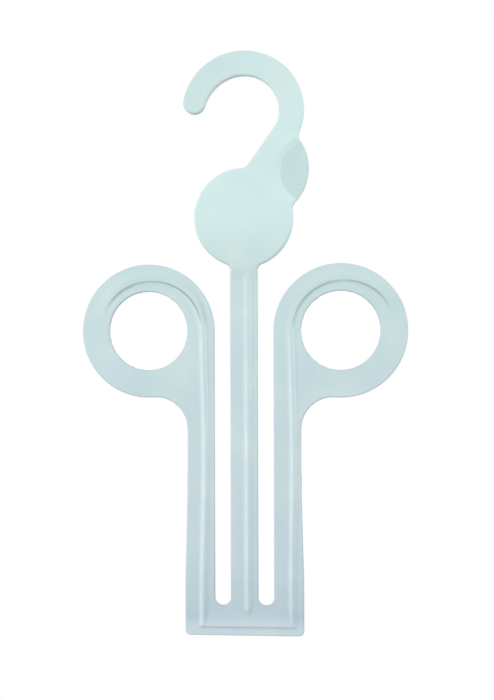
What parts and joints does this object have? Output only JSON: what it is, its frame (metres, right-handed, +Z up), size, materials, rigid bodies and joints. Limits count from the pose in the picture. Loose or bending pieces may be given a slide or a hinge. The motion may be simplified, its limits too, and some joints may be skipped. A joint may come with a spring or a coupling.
{
  "type": "sandal hanger",
  "caption": "Flat plastic shoe hanger: rail hook, round label disc with a size tab, and a stem flanked by two springy arms that end in open rings.",
  "frame": {"origin": "inside top of the hook, halfway through the plate, where the hanger rests on a shop rail", "axes": "+Z up along the stem, +X to the right of someone facing the front, +Y towards the back, through the plate"},
  "size_m": [0.1226, 0.004, 0.2195],
  "materials": {
    "hanger_plastic": "satin injection-moulded polypropylene, tinted a pale icy mint"
  },
  "bodies": {
    "frame": {"hook": "hanger_plastic", "label_disc": "hanger_plastic", "sizer_tab": "hanger_plastic", "stem": "hanger_plastic", "base_bar": "hanger_plastic"},
    "left_arm_body": {"left_arm": "hanger_plastic", "left_ring": "hanger_plastic"},
    "right_arm_body": {"right_arm": "hanger_plastic", "right_ring": "hanger_plastic"}
  },
  "joints": [
    {"name": "left_arm_flex", "type": "hinge", "parent": "frame", "child": "left_arm_body", "pos_m": [-0.01673, 0, -0.1958], "axis": [0, -1, 0], "range_deg": [-3, 6], "stiffness_Nm_per_rad": 6},
    {"name": "right_arm_flex", "type": "hinge", "parent": "frame", "child": "right_arm_body", "pos_m": [0.01673, 0, -0.1958], "axis": [0, 1, 0], "range_deg": [-3, 6], "stiffness_Nm_per_rad": 6}
  ]
}
